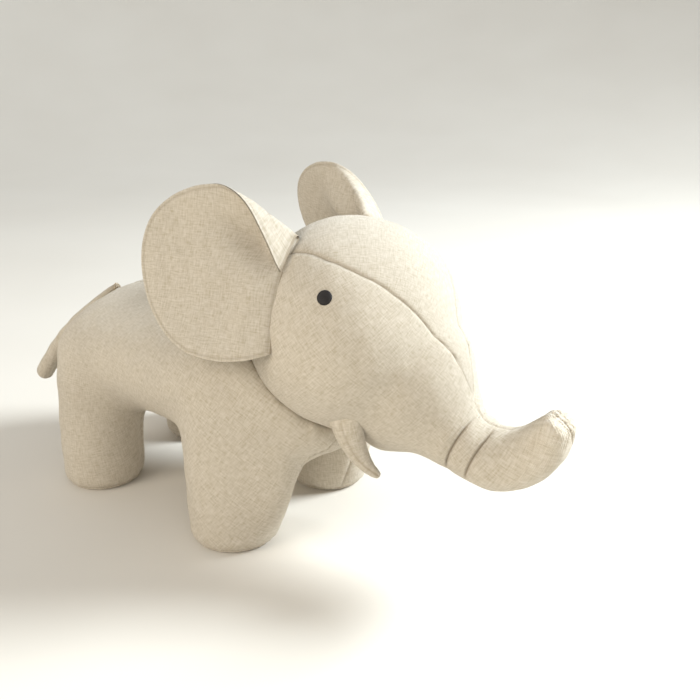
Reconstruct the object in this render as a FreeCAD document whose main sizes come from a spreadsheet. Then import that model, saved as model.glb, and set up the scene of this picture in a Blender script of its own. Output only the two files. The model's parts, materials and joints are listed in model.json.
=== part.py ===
# Stuffed elephant: a large soft toy sewn from woven cloth over fibre stuffing.
# Millimetres, +Z up, +X towards the trunk, +Y to the elephant's left. The origin is on the floor,
# under the middle of the overall length. Every fabric panel is a thin shell round its own stuffing.
import FreeCAD, Part
import math
import os

from FreeCAD import Placement, Rotation, Vector

doc = FreeCAD.newDocument("stuffed_elephant")

# ---------------------------------------------------------------- driving dimensions
dimensions = {
    "cloth": 1.5,            # woven cloth with its seam allowance, pressed flat
    "seam_gap": 0.4,         # running clearance where the trunk bends
    "half_track": 59.0,      # from the middle to the centre of a leg
    "front_leg_x": 21.0,
    "rear_leg_x": -137.0,
    "sole_radius": 31.0,
    "rim_height": 6.0,       # the sole's rounded edge
    "leg_low_radius": 35.0,
    "leg_top_radius": 36.0,
    "leg_top": 98.0,         # centre of the rounded hip or shoulder
    "head_x": 105.0,
    "head_z": 182.0,
    "head_radius": 82.5,
    "bend_x": 220.0,         # where the trunk bends, between its two tucks
    "bend_z": 108.0,
    "bend_radius": 36.0,     # of the rounded end that turns in the trunk's root
    "gusset_top": 100.0,     # the belly gusset's edge on chest and rump
    "ear_sphere": 210.0,     # the ear is a shallow bowl of this radius
    "ear_cloth": 1.2,
    "ear_wadding": 5.0,
    "eye_radius": 5.2,
    "eye_height": 0.9,
    "ear_turn_radius": 3.0,  # the rolled edge the ear flaps about
    "ear_root_thick": 5.0,
    "ear_root_length": 58.0,
    "tail_tip_radius": 10.5,
    "tail_root_radius": 3.4,
    "tail_length": 156.0,
    "tail_knot": 3.8,        # radius of the gathered knot it hangs from
    "thread_height": 0.8,
}
sheet = doc.addObject("Spreadsheet::Sheet", "Sheet")
for row, (alias, value) in enumerate(dimensions.items(), start=1):
    sheet.set(f"A{row}", alias)
    sheet.set(f"B{row}", str(value))
    sheet.setAlias(f"B{row}", alias)
doc.recompute()

ALONG_X = Rotation(Vector(1, 1, 1), 120)     # turns a flat outline's X, Y, Z into the toy's Y, Z, X
OFF_MIDDLE = Rotation(Vector(0, 0, 1), 25)   # keeps a round surface's own edge off the middle plane
BIG = 700.0                                  # longer than the toy: the side of a cutting box
parts = {}                                   # node name: document object


# ---------------------------------------------------------------- small helpers
def bind(obj, **expressions):
    """Binds properties to spreadsheet cells; Placement.Base.x is written Placement_Base_x."""
    for name, expression in expressions.items():
        obj.setExpression(name.replace("_Base_", ".Base."), expression)
    return obj


def keep(node, obj):
    """Names an object as one sub-part of the toy."""
    obj.Label = node
    parts[node] = obj
    return obj


def placed(obj, base, rotation=Rotation()):
    obj.Placement = Placement(Vector(*base), rotation)
    return obj


def ellipse(name, major, minor, base, rotation, inset):
    """An ellipse outline, drawn smaller by one thickness of cloth when it is for the inside."""
    edge = doc.addObject("Part::Ellipse", name)
    taken = " - Sheet.cloth" if inset else ""
    edge.setExpression("MajorRadius", f"{major}{taken}")
    edge.setExpression("MinorRadius", f"{minor}{taken}")
    return placed(edge, base, rotation)


def loft(name, outlines):
    body = doc.addObject("Part::Loft", name)
    body.Sections = outlines
    body.Solid = True
    body.Ruled = False
    return body


def fuse(name, *shapes):
    joined = doc.addObject("Part::MultiFuse", name)
    joined.Shapes = list(shapes)
    return joined


def cut(name, base, tool):
    left = doc.addObject("Part::Cut", name)
    left.Base = base
    left.Tool = tool
    return left


def common(name, base, tool):
    shared = doc.addObject("Part::Common", name)
    shared.Base = base
    shared.Tool = tool
    return shared


def box(name, low, size):
    block = doc.addObject("Part::Box", name)
    block.Length, block.Width, block.Height = size
    return placed(block, low)


def ball(name, radius, x, y, z):
    """A sphere whose radius and centre are expressions on the sheet."""
    sphere = doc.addObject("Part::Sphere", name)
    sphere.Placement = Placement(Vector(), OFF_MIDDLE)
    sphere.setExpression("Radius", radius)
    for axis, value in zip("xyz", (x, y, z)):
        sphere.setExpression(f"Placement.Base.{axis}", value)
    return sphere


# ---------------------------------------------------------------- torso and legs
# x, half width, half height, height of the middle
torso_sections = [
    (-192, 30, 14, 100), (-185, 60, 35, 105), (-158, 84, 53, 114), (-110, 89, 56, 120),
    (-30, 89, 56, 125), (35, 85, 56, 128), (66, 60, 42, 126), (77, 28, 18, 122),
]


def torso(inset):
    layer = "in" if inset else "out"
    step_in = dimensions["cloth"] if inset else 0.0
    first, last = torso_sections[0][0], torso_sections[-1][0]
    outlines = []
    for number, (x, wide, high, middle) in enumerate(torso_sections):
        x += step_in if x == first else -step_in if x == last else 0.0
        outlines.append(ellipse(f"torso_{layer}_{number}", wide, high, (x, 0, middle), ALONG_X, inset))
    return loft(f"torso_{layer}", outlines)


def leg(place, end, side, inset):
    """One leg: end is front or rear, side is -1 for the elephant's right and 1 for its left."""
    layer = f"{place}_in" if inset else f"{place}_out"
    taken = " - Sheet.cloth" if inset else ""
    lift = "Sheet.cloth" if inset else "0"
    rim = bind(doc.addObject("Part::Cone", f"{layer}_rim"), Radius1=f"Sheet.sole_radius{taken}",
               Radius2=f"Sheet.leg_low_radius{taken}", Height=f"Sheet.rim_height - {lift}")
    column = bind(doc.addObject("Part::Cone", f"{layer}_column"), Radius1=f"Sheet.leg_low_radius{taken}",
                  Radius2=f"Sheet.leg_top_radius{taken}", Height="Sheet.leg_top - Sheet.rim_height")
    joint = bind(doc.addObject("Part::Sphere", f"{layer}_joint"), Radius=f"Sheet.leg_top_radius{taken}")
    for piece, height in ((rim, lift), (column, "Sheet.rim_height"), (joint, "Sheet.leg_top")):
        bind(piece, Placement_Base_x=f"Sheet.{end}_leg_x", Placement_Base_y=f"{side} * Sheet.half_track",
             Placement_Base_z=height)
    return fuse(layer, rim, column, joint)


LEGS = [(f"{end}_leg_{side_name}", end, side)
        for end in ("front", "rear") for side_name, side in (("right", -1), ("left", 1))]
head_ball = ball("head_ball", "Sheet.head_radius", "Sheet.head_x", "0", "Sheet.head_z")
neck_hollow = ball("neck_hollow", "Sheet.head_radius + Sheet.seam_gap", "Sheet.head_x", "0",
                   "Sheet.head_z")

outer_legs = [leg(place, end, side, False) for place, end, side in LEGS]
inner_legs = [leg(place, end, side, True) for place, end, side in LEGS]
outer_torso = torso(False)
inner_torso = torso(True)
body_out = cut("body_out", fuse("body_out_whole", outer_torso, *outer_legs), neck_hollow)
body_in = cut("body_in", fuse("body_in_whole", inner_torso, *inner_legs), neck_hollow)
body_cloth = cut("body_cloth", body_out, body_in)

keep("torso_stuffing", cut("torso_stuffing", inner_torso, neck_hollow))
for (place, end, side), inner in zip(LEGS, inner_legs):
    leg_limit = fuse(f"{place}_limit", inner_torso, neck_hollow)
    keep(f"{place}_stuffing", cut(f"{place}_stuffing", inner, leg_limit))

# The soles are the round discs under the feet; the gusset takes the belly and the inner legs.
sole_layer = bind(box("sole_layer", (-BIG / 2, -BIG / 2, -1), (BIG, BIG, 1)), Height="Sheet.cloth + 1")
for (place, end, side), outer in zip(LEGS, outer_legs):
    keep(f"{place}_sole", common(f"{place}_sole", outer, sole_layer))
upper_cloth = cut("upper_cloth", body_cloth, sole_layer)
gusset_zone = bind(box("gusset_zone", (-BIG / 2, 0, -2), (BIG, 1, 1)), Width="2 * Sheet.half_track",
                   Height="Sheet.gusset_top + 2", Placement_Base_y="-Sheet.half_track")
right_half = box("right_half", (-BIG / 2, -BIG, -BIG / 2), (BIG, BIG, BIG))
keep("belly_gusset", common("belly_gusset", upper_cloth, gusset_zone))
side_cloth = cut("side_cloth", upper_cloth, gusset_zone)
keep("body_side_right", common("body_side_right", side_cloth, right_half))
keep("body_side_left", cut("body_side_left", side_cloth, right_half))

# ---------------------------------------------------------------- head and trunk
# x, z, half depth, half width, and how far the outline is tipped from level, in degrees
trunk_sections = [
    (122, 168, 74, 68, 120), (158, 145, 58, 49, 122), (188, 123, 38.5, 33, 122),
    (210, 110, 27.5, 25.5, 106), (236, 108, 24.5, 24, 74), (258, 120, 20.5, 20.5, 45),
    (271, 137, 15.5, 17, 32), (279, 153, 8, 13.5, 26),
]


def trunk(name, spare):
    """The trunk's solid, drawn smaller all round by spare: 0 for the cloth's outside."""
    outlines = []
    for number, (x, z, deep, wide, tip) in enumerate(trunk_sections):
        back = spare if number == len(trunk_sections) - 1 else 0.0
        lean = math.radians(tip)
        edge = doc.addObject("Part::Ellipse", f"{name}_{number}")
        across = wide > deep
        edge.MajorRadius, edge.MinorRadius = max(deep, wide) - spare, min(deep, wide) - spare
        spin = Rotation(Vector(0, 0, 1), 90 if across else 0)
        outlines.append(placed(edge, (x - back * math.sin(lean), 0, z - back * math.cos(lean)),
                               Rotation(Vector(0, 1, 0), tip).multiply(spin)))
    return loft(name, outlines)


inner_head_ball = ball("inner_head_ball", "Sheet.head_radius - Sheet.cloth", "Sheet.head_x", "0",
                       "Sheet.head_z")
trunk_in = trunk("trunk_in", dimensions["cloth"])
head_out = fuse("head_out", head_ball, trunk("trunk_out", 0.0))
head_in = fuse("head_in", inner_head_ball, trunk_in)
head_cloth = cut("head_cloth", head_out, head_in)

# Past the tucks the trunk is its own piece, with a rounded end that turns in the root.
beyond_bend = bind(box("beyond_bend", (0, -60, 40), (150, 120, 160)), Placement_Base_x="Sheet.bend_x")
bend_ball = ball("bend_ball", "Sheet.bend_radius", "Sheet.bend_x", "0", "Sheet.bend_z")
bend_hollow = ball("bend_hollow", "Sheet.bend_radius + Sheet.seam_gap", "Sheet.bend_x", "0",
                   "Sheet.bend_z")
trunk_zone = fuse("trunk_zone", beyond_bend, bend_ball)
root_limit = fuse("root_limit", beyond_bend, bend_hollow)

keep("head_stuffing", inner_head_ball)
outside_root = fuse("outside_root", inner_head_ball, root_limit)
keep("trunk_root_stuffing", cut("trunk_root_stuffing", trunk_in, outside_root))
keep("trunk_stuffing", common("trunk_stuffing", trunk_in, trunk_zone))
trunk_cloth = common("trunk_cloth", head_cloth, trunk_zone)
keep("trunk_side_right", common("trunk_side_right", trunk_cloth, right_half))
keep("trunk_side_left", cut("trunk_side_left", trunk_cloth, right_half))

# The forehead gusset is a long leaf: wide over the crown, a point on top of the trunk.
GUSSET_TILT = 45.0    # the leaf is cut straight through the cloth from this angle above level
GUSSET_WIDE = 46.0    # half width at the back of the head
GUSSET_BACK = -110.0  # from the head's middle along the leaf, negative towards the nape
GUSSET_NARROW = (60.0, 4.0)
GUSSET_POINT = 112.0


def leaf_face():
    """The leaf's flat outline, its point towards the trunk."""
    right = [Vector(GUSSET_BACK, -GUSSET_WIDE, 0), Vector(14, -32, 0),
             Vector(GUSSET_NARROW[0], -GUSSET_NARROW[1], 0), Vector(GUSSET_POINT, 0, 0)]
    left = [Vector(p.x, -p.y, 0) for p in right]
    edges = [Part.Arc(*right[:3]).toShape(), Part.makeLine(right[2], right[3]),
             Part.makeLine(right[3], left[2]), Part.Arc(left[2], left[1], left[0]).toShape(),
             Part.makeLine(left[0], right[0])]
    return Part.Face(Part.Wire(edges))


leaf = doc.addObject("Part::Feature", "leaf")
leaf.Shape = leaf_face().extrude(Vector(0, 0, 200))
leaf_turn = Rotation(Vector(0, 1, 0), GUSSET_TILT)
leaf.Placement = Placement(Vector(dimensions["head_x"], 0, dimensions["head_z"]), leaf_turn)
root_cloth = cut("root_cloth", head_cloth, root_limit)
keep("head_gusset", common("head_gusset", root_cloth, leaf))
keep("head_side_right", cut("head_side_right", common("cheek_right", root_cloth, right_half), leaf))
keep("head_side_left", cut("head_side_left", cut("cheek_left", root_cloth, right_half), leaf))


# ---------------------------------------------------------------- stitched tucks in the trunk
# Each tuck is a line of stitches standing proud of both sides of the trunk.
TUCK_TILT = 28.0      # how far a tuck leans forward from upright
# x, z, how far from the middle plane the stitching starts, and its length
tucks = {"rear": (208.0, 117.0, 12.0, 44.0), "front": (228.0, 113.0, 10.0, 36.0)}
thread_skin = cut("thread_skin", trunk("thread_limit", -dimensions["thread_height"]), head_out)
for label, (x, z, aside, tall) in tucks.items():
    lean = Rotation(Vector(0, 1, 0), TUCK_TILT)
    stitches = []
    for side_name, side in (("right", -1), ("left", 1)):
        slab = doc.addObject("Part::Box", f"{label}_tuck_slab_{side_name}")
        slab.Width, slab.Height = 60, tall
        bind(slab, Length="2 * Sheet.thread_height")
        corner = Vector(-dimensions["thread_height"], aside if side > 0 else -aside - 60, -tall / 2)
        placed(slab, Vector(x, 0, z) + lean.multVec(corner), lean)
        stitches.append(common(f"{label}_tuck_{side_name}", thread_skin, slab))
    pair = doc.addObject("Part::Compound", f"{label}_tucks")
    pair.Links = stitches
    keep(f"trunk_tuck_stitches_{label}", pair)

# ---------------------------------------------------------------- eyes
EYE_ASIDE, EYE_UP = 70.0, 30.5   # degrees round from straight ahead, and up from level
eye_shell = cut("eye_shell", ball("eye_shell_out", "Sheet.head_radius + Sheet.eye_height", "Sheet.head_x",
                                  "0", "Sheet.head_z"), head_ball)
for side_name, side in (("right", -1), ("left", 1)):
    aim = Rotation(Vector(0, 0, 1), side * EYE_ASIDE).multiply(Rotation(Vector(0, 1, 0), 90 - EYE_UP))
    pin = doc.addObject("Part::Cylinder", f"eye_cutter_{side_name}")
    pin.Height = 120
    bind(pin, Radius="Sheet.eye_radius")
    placed(pin, (dimensions["head_x"], 0, dimensions["head_z"]), aim)
    keep(f"eye_{side_name}", common(f"eye_{side_name}", eye_shell, pin))

# ---------------------------------------------------------------- ears
EAR_TURN = Vector(85, -79, 220)          # middle of the line the right ear flaps about
EAR_UP = Vector(-0.05, 0.30, 0.953)      # along that line
EAR_BACK = Vector(-1, -0.16, 0.05)       # the way the ear lies at rest
# the ear's outline on its own flat pattern, backwards and up from the middle of its sewn edge
ear_pattern = [(4.4, -34), (30, -50), (66, -45), (98, -16), (108, 24), (88, 59), (52, 69), (22, 62),
               (4.4, 50)]


def ear_frame(side):
    """The ear's own frame: X up its sewn edge, Y backwards along it, Z out of its hollow side."""
    turn, up, back = (Vector(v.x, -side * v.y, v.z) for v in (EAR_TURN, EAR_UP, EAR_BACK))
    up.normalize()
    out = up.cross(back).normalize() * side
    return Placement(turn, Rotation(up, out.cross(up), out, "ZXY"))


def ear(side_name, side):
    """One ear: two panels and wadding cut from a shallow bowl, and the root it is sewn to."""
    frame = ear_frame(side)
    flip = 1 if frame.Rotation.multVec(Vector(0, 1, 0)).x < 0 else -1
    spline = Part.BSplineCurve()
    spline.interpolate([Vector(up, flip * back, 0) for back, up in ear_pattern])
    ends = [Vector(up, flip * back, 0) for back, up in (ear_pattern[-1], ear_pattern[0])]
    outline = Part.Wire([spline.toShape(), Part.makeLine(*ends)])
    prism = doc.addObject("Part::Feature", f"ear_prism_{side_name}")
    prism.Shape = Part.Face(outline).extrude(Vector(0, 0, 80))
    prism.Placement = frame.multiply(Placement(Vector(0, 0, -40), Rotation()))
    middle = frame.multVec(Vector(14, flip * 55, dimensions["ear_sphere"] - 6))
    centre = [str(round(c, 4)) for c in middle]
    half = dimensions["ear_wadding"] / 2
    full = half + dimensions["ear_cloth"]
    # each layer lies between two distances from the bowl's own surface, negative on the hollow side
    for layer, near, far in (("outer_panel", -full, -half), ("wadding", -half, half),
                             ("inner_panel", half, full)):
        name = f"ear_{side_name}_{layer}"
        bowl = cut(f"{name}_bowl", ball(f"{name}_large", f"Sheet.ear_sphere + ({far})", *centre),
                   ball(f"{name}_small", f"Sheet.ear_sphere + ({near})", *centre))
        keep(name, common(name, bowl, prism))
    # The ear's gathered root stands out of the head and ends in the rolled edge it flaps about.
    roll = bind(doc.addObject("Part::Cylinder", f"ear_roll_{side_name}"), Radius="Sheet.ear_turn_radius",
                Height="Sheet.ear_root_length")
    web = bind(doc.addObject("Part::Box", f"ear_web_{side_name}"), Width="Sheet.ear_root_thick",
               Height="Sheet.ear_root_length")
    web.Length = 30
    upright = frame.Rotation.multVec(Vector(1, 0, 0))
    inward = Vector(0, -side, 0)
    stand = Rotation(inward, inward.cross(upright), upright, "ZXY")
    low = frame.Base - upright * (dimensions["ear_root_length"] / 2 + 2)
    roll.Placement = Placement(low, stand)
    web.Placement = Placement(low + stand.multVec(Vector(0, -dimensions["ear_root_thick"] / 2, 0)), stand)
    keep(f"ear_{side_name}_root", cut(f"ear_{side_name}_root", fuse(f"ear_root_{side_name}", roll, web),
                                      head_out))


for side_name, side in (("right", -1), ("left", 1)):
    ear(side_name, side)

# ---------------------------------------------------------------- tusks
# x, z, half length along the toy, half thickness, tip in degrees: from the root to the point
tusk_sections = [(130, 128, 16, 9.5, 170), (136, 112, 12.5, 8.4, 156), (144, 101, 9, 7, 138),
                 (152, 95, 6.2, 5.4, 122), (160, 91.5, 3.6, 3.2, 110)]
TUSK_Y = 48.0
TUSK_SPREAD = 3.0    # how much further out the point stands than the root


def tusk_solid(side_name, side, inset):
    """One tusk: its stuffing when inset, otherwise the whole of it."""
    layer = f"{side_name}_{'in' if inset else 'out'}"
    outlines = []
    start, end = tusk_sections[0][0], tusk_sections[-1][0]
    for number, (x, z, long, thick, tip) in enumerate(tusk_sections):
        back = dimensions["cloth"] if inset and number == len(tusk_sections) - 1 else 0.0
        y = side * (TUSK_Y + TUSK_SPREAD * (x - start) / (end - start))
        outlines.append(ellipse(f"tusk_{layer}_{number}", long, thick, (x - back, y, z),
                                Rotation(Vector(0, 1, 0), tip), inset))
    return cut(f"tusk_{layer}", loft(f"tusk_horn_{layer}", outlines), head_out)


for side_name, side in (("right", -1), ("left", 1)):
    stuffing = keep(f"tusk_{side_name}_stuffing", tusk_solid(side_name, side, True))
    outer = tusk_solid(side_name, side, False)
    keep(f"tusk_{side_name}_cover", cut(f"tusk_{side_name}_cover", outer, stuffing))

# ---------------------------------------------------------------- tail
TAIL_TURN = Vector(-173, -1, 164)        # where the tail swings
TAIL_WAY = Vector(-100, -22, -104)       # the way it hangs at rest


def tail_body(node, inner, outer):
    """A body of revolution along the tail: inner and outer are cloth thicknesses taken off its outline."""
    body = doc.addObject("PartDesign::Body", node)
    sketch = body.newObject("Sketcher::SketchObject", f"{node}_sketch")
    plane = [f for f in body.Origin.OriginFeatures if f.Role == "XY_Plane"][0]
    sketch.AttachmentSupport = (plane, "")
    sketch.MapMode = "FlatFace"
    cloth = dimensions["cloth"]
    root, tip, length = (dimensions[k] for k in ("tail_root_radius", "tail_tip_radius", "tail_length"))

    def contour(off):
        start = Vector(off, 0, 0)
        neck = Vector(off, root - off, 0)
        shoulder = Vector(length - tip, tip - off, 0)
        waist = Vector(length * 0.45, (root + tip) * 0.52 - off, 0)
        end = Vector(length - off, 0, 0)
        round_mid = Vector(length - tip + (tip - off) * math.sin(math.radians(45)),
                           (tip - off) * math.cos(math.radians(45)), 0)
        return start, neck, waist, shoulder, round_mid, end

    def draw(points):
        start, neck, waist, shoulder, round_mid, end = points
        return [Part.LineSegment(start, neck), Part.Arc(neck, waist, shoulder),
                Part.Arc(shoulder, round_mid, end)]

    far = draw(contour(outer))
    if inner is None:
        geometry = far + [Part.LineSegment(contour(outer)[-1], contour(outer)[0])]
    else:
        near = draw(contour(inner))
        geometry = far + near + [Part.LineSegment(contour(outer)[0], contour(inner)[0]),
                                 Part.LineSegment(contour(outer)[-1], contour(inner)[-1])]
    sketch.addGeometry(geometry, False)
    doc.recompute()
    turned = body.newObject("PartDesign::Revolution", f"{node}_turned")
    turned.Profile = sketch
    turned.ReferenceAxis = (sketch, ["H_Axis"])
    turned.Angle = 360
    way = Vector(TAIL_WAY).normalize()
    body.Placement = Placement(TAIL_TURN + way * (dimensions["tail_knot"] + dimensions["seam_gap"]),
                               Rotation(Vector(1, 0, 0), way))
    return keep(node, body)


tail_body("tail_cover", dimensions["cloth"], 0.0)
tail_body("tail_stuffing", None, dimensions["cloth"])
knot = ball("tail_knot", "Sheet.tail_knot", *(str(c) for c in TAIL_TURN))
knot_stem = bind(doc.addObject("Part::Cylinder", "tail_knot_stem"), Radius="Sheet.tail_knot - 0.8")
knot_stem.Height = 14
placed(knot_stem, TAIL_TURN, Rotation(Vector(0, 0, 1), Vector(1, 0, -1)))
keep("tail_root_gather", cut("tail_root_gather", fuse("tail_gather_whole", knot, knot_stem), body_out))

# ---------------------------------------------------------------- check and write
doc.recompute()
for obj in doc.Objects:
    if "Invalid" in obj.State or "Error" in obj.State:
        raise RuntimeError(f"{obj.Name} did not recompute: {obj.State}")
os.makedirs("parts", exist_ok=True)
for node, obj in parts.items():
    shape = obj.Shape
    if shape.isNull() or not shape.isValid() or not shape.Solids:
        raise RuntimeError(f"{node} has no valid solid")
    shape.exportStep(f"parts/{node}.step")
    print(f"{node}: {len(shape.Solids)} solid, {shape.Volume / 1000:.1f} cm3")
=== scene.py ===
# A large stuffed elephant: sewn linen-look panels over fibre stuffing, on a pale floor.
import json
import math

import bpy
import numpy as np
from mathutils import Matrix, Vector


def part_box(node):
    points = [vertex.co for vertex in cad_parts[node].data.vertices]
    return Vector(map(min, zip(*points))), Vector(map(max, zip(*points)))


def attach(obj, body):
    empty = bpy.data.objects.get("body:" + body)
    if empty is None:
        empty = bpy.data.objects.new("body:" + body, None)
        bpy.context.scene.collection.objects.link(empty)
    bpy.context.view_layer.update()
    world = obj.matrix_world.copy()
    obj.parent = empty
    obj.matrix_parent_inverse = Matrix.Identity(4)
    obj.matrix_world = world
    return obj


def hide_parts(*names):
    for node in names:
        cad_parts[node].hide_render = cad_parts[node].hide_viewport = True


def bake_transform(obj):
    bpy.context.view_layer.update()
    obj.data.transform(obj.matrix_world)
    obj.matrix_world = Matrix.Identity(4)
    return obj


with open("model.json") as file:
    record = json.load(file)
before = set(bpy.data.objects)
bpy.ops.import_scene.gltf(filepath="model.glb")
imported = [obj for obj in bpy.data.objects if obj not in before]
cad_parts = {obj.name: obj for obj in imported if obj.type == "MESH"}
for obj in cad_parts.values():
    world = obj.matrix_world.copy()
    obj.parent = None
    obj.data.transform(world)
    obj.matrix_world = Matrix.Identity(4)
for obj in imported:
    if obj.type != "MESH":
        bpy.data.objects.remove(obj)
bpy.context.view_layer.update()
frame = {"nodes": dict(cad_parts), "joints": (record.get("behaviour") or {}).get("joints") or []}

mm = 0.001
print("frame loaded:", len(frame["nodes"]), "nodes")


def linearColour(hexCode):
    parts = [int(hexCode[i:i + 2], 16) / 255 for i in (1, 3, 5)]
    return [c / 12.92 if c <= 0.04045 else ((c + 0.055) / 1.055) ** 2.4 for c in parts] + [1.0]


def addNode(tree, kind, inputs=None, **settings):
    node = tree.nodes.new(kind)
    for name, value in settings.items():
        setattr(node, name, value)
    for name, value in (inputs or {}).items():
        socket = node.inputs[name]
        if isinstance(value, bpy.types.NodeSocket):
            tree.links.new(value, socket)
        else:
            socket.default_value = value
    return node


def newMaterial(name):
    material = bpy.data.materials.new(name)
    material.use_nodes = True
    tree = material.node_tree
    tree.nodes.clear()
    shader = addNode(tree, "ShaderNodeBsdfPrincipled")
    addNode(tree, "ShaderNodeOutputMaterial", {"Surface": shader.outputs["BSDF"]})
    return material, tree, shader


# Undyed linen and cotton in plain weave: matt, with paler and browner yarns that show as short slubs.
linenLook = {
    "yarnPitch": 0.95 * mm,      # drawn a little coarser than the real 0.6 mm so that it shows
    "slubLength": 7 * mm,
    "pale": "#CDC3B4",
    "mid": "#C2B7A5",
    "brown": "#B2A691",
    "seamShade": "#8E7F6A",
    "bump": 0.0002,
}


def linenMaterial(name):
    look = linenLook
    material, tree, shader = newMaterial(name)
    place = addNode(tree, "ShaderNodeAttribute", attribute_name="weave", attribute_type="GEOMETRY")
    split = addNode(tree, "ShaderNodeSeparateXYZ", {"Vector": place.outputs["Vector"]})

    def streak(across, along, seed):
        stretched = addNode(tree, "ShaderNodeMapping", {
            "Vector": place.outputs["Vector"], "Scale": (across, along, 900),
            "Location": (seed, seed * 0.7, seed * 1.3)})
        noise = addNode(tree, "ShaderNodeTexNoise", {
            "Vector": stretched.outputs["Vector"], "Scale": 1.0, "Detail": 2.0, "Roughness": 0.6})
        return noise.outputs["Fac"]

    fine, longWay = 1 / look["yarnPitch"], 1 / look["slubLength"]
    warpSlub = streak(fine * 0.9, longWay, 3.1)
    weftSlub = streak(longWay, fine * 0.9, 7.7)
    both = addNode(tree, "ShaderNodeMath", {0: warpSlub, 1: weftSlub}, operation="ADD")
    half = addNode(tree, "ShaderNodeMath", {0: both.outputs[0], 1: 0.5}, operation="MULTIPLY")
    yarns = addNode(tree, "ShaderNodeValToRGB", {"Fac": half.outputs[0]})
    stops = yarns.color_ramp.elements
    stops[0].position, stops[0].color = 0.36, linearColour(look["brown"])
    stops[1].position, stops[1].color = 0.64, linearColour(look["pale"])
    middle = stops.new(0.5)
    middle.color = linearColour(look["mid"])

    # the over and under of single yarns
    waves = []
    for axis in ("X", "Y"):
        turns = addNode(tree, "ShaderNodeMath", {0: split.outputs[axis], 1: math.tau * fine},
                        operation="MULTIPLY")
        waves.append(addNode(tree, "ShaderNodeMath", {0: turns.outputs[0]}, operation="SINE").outputs[0])
    cross = addNode(tree, "ShaderNodeMath", {0: waves[0], 1: waves[1]}, operation="MULTIPLY")

    # broad random patches, painted lighter and darker to stand in for the uneven light and sheen on the
    # cloth
    broad = addNode(tree, "ShaderNodeTexNoise", {
        "Vector": place.outputs["Vector"], "Scale": 16.0, "Detail": 3.0, "Roughness": 0.55})
    broadShade = addNode(tree, "ShaderNodeMapRange", {
        "Value": broad.outputs["Fac"], "From Min": 0.3, "From Max": 0.7, "To Min": 0.96, "To Max": 1.03})
    crossShade = addNode(tree, "ShaderNodeMapRange", {
        "Value": cross.outputs[0], "From Min": -1.0, "From Max": 1.0, "To Min": 0.975, "To Max": 1.02})
    shade = addNode(tree, "ShaderNodeMath", {0: broadShade.outputs[0], 1: crossShade.outputs[0]},
                    operation="MULTIPLY")
    toned = addNode(tree, "ShaderNodeVectorMath", {0: yarns.outputs["Color"]}, operation="SCALE")
    tree.links.new(shade.outputs[0], toned.inputs["Scale"])

    # painted shade: the cloth darkens toward seamShade in seam valleys, tucks, gathers and the ear's sewn
    # edge, with the dark stitch holes along the seams
    seam = addNode(tree, "ShaderNodeAttribute", attribute_name="seamShade", attribute_type="GEOMETRY")
    # inputs 6 and 7 and output 2 of a Mix node are its colours
    paintedSeamShade = addNode(tree, "ShaderNodeMix", {
        "Factor": seam.outputs["Fac"], 6: toned.outputs["Vector"],
        7: linearColour(look["seamShade"])}, data_type="RGBA")
    tree.links.new(paintedSeamShade.outputs[2], shader.inputs["Base Color"])

    rough = addNode(tree, "ShaderNodeMapRange", {
        "Value": half.outputs[0], "From Min": 0.35, "From Max": 0.65, "To Min": 0.96, "To Max": 0.84})
    tree.links.new(rough.outputs[0], shader.inputs["Roughness"])
    shader.inputs["Sheen Weight"].default_value = 0.18
    shader.inputs["Sheen Roughness"].default_value = 0.45
    shader.inputs["Specular IOR Level"].default_value = 0.25

    relief = addNode(tree, "ShaderNodeMath", {
        0: half.outputs[0], 1: cross.outputs[0], 2: cross.outputs[0]}, operation="MULTIPLY_ADD")
    bump = addNode(tree, "ShaderNodeBump", {
        "Height": relief.outputs[0], "Strength": 0.55, "Distance": look["bump"]})
    tree.links.new(bump.outputs["Normal"], shader.inputs["Normal"])
    return material


# Mercerised black embroidery thread: smooth, with a soft shine along the stitches.
def embroideryMaterial():
    material, tree, shader = newMaterial("embroideryThreadBlack")
    place = addNode(tree, "ShaderNodeTexCoord")
    fibre = addNode(tree, "ShaderNodeTexNoise", {
        "Vector": place.outputs["Object"], "Scale": 2600.0, "Detail": 2.0})
    tone = addNode(tree, "ShaderNodeValToRGB", {"Fac": fibre.outputs["Fac"]})
    tone.color_ramp.elements[0].color = linearColour("#100E0D")
    tone.color_ramp.elements[1].color = linearColour("#2A2523")
    tree.links.new(tone.outputs["Color"], shader.inputs["Base Color"])
    shader.inputs["Roughness"].default_value = 0.55
    shader.inputs["Specular IOR Level"].default_value = 0.3
    bump = addNode(tree, "ShaderNodeBump", {
        "Height": fibre.outputs["Fac"], "Strength": 0.3, "Distance": 0.0001})
    tree.links.new(bump.outputs["Normal"], shader.inputs["Normal"])
    return material


# Twisted polyester sewing thread in beige: a slight shine and shade on the twist, painted as lighter and
# darker bands along it.
def sewingThreadMaterial(name, dark, light):
    material, tree, shader = newMaterial(name)
    place = addNode(tree, "ShaderNodeTexCoord")
    twist = addNode(tree, "ShaderNodeTexWave", {
        "Vector": place.outputs["Object"], "Scale": 420.0, "Distortion": 2.0},
        wave_type="BANDS", bands_direction="DIAGONAL")
    tone = addNode(tree, "ShaderNodeValToRGB", {"Fac": twist.outputs["Fac"]})
    tone.color_ramp.elements[0].color = linearColour(dark)
    tone.color_ramp.elements[1].color = linearColour(light)
    tree.links.new(tone.outputs["Color"], shader.inputs["Base Color"])
    shader.inputs["Roughness"].default_value = 0.6
    bump = addNode(tree, "ShaderNodeBump", {
        "Height": twist.outputs["Fac"], "Strength": 0.4, "Distance": 0.0001})
    tree.links.new(bump.outputs["Normal"], shader.inputs["Normal"])
    return material


linen = linenMaterial("linenPlainWeave")
blackThread = embroideryMaterial()
beigeThread = sewingThreadMaterial("sewingThreadBeige", "#8C7A63", "#C3B297")
print("materials ready")


def smoothstep(low, high, value):
    t = np.clip((value - low) / (high - low), 0, 1)
    return t * t * (3 - 2 * t)


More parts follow.
